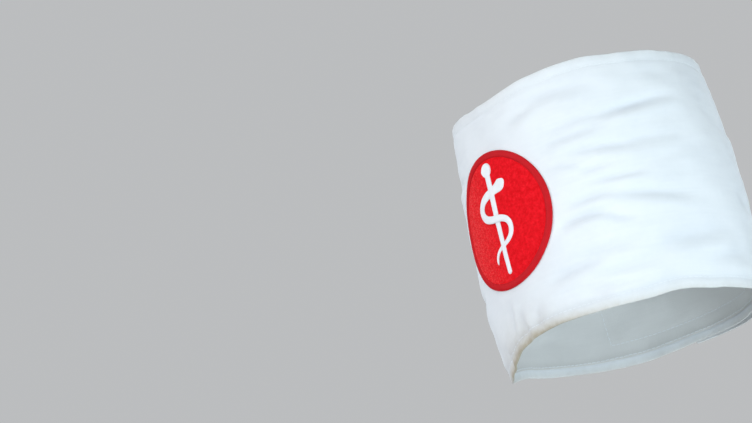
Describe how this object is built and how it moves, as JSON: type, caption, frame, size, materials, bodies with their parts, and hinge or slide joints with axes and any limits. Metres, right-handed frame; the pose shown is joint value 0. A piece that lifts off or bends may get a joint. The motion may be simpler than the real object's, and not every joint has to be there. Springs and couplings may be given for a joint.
{
  "type": "medical armband",
  "caption": "White cotton armband worn round an upper sleeve, lined and hemmed, with a round red cloth patch in front and a hook-and-loop flap behind.",
  "frame": {"origin": "middle of the arm passage at half the band's height", "axes": "+Z along the arm towards the shoulder; the patch faces -Y and the closure is at +Y"},
  "size_m": [0.1311, 0.1343, 0.12],
  "materials": {
    "white_cotton": "matte woven",
    "lining_cotton": "matte woven",
    "red_cloth": "matte woven",
    "loop_tape": "brushed pile",
    "hook_tape": "matte"
  },
  "bodies": {
    "band": {"outer_panel": "white_cotton", "lining_panel": "lining_cotton", "motif_patch": "red_cloth", "loop_strip": "loop_tape"},
    "flap": {"flap_panel": "white_cotton", "flap_lining": "lining_cotton", "hook_strip": "hook_tape"}
  },
  "joints": [
    {"name": "flap_peel", "type": "hinge", "parent": "band", "child": "flap", "pos_m": [0.02542, 0.06312, 0], "axis": [0, 0, -1], "range_deg": [0, 160]}
  ]
}
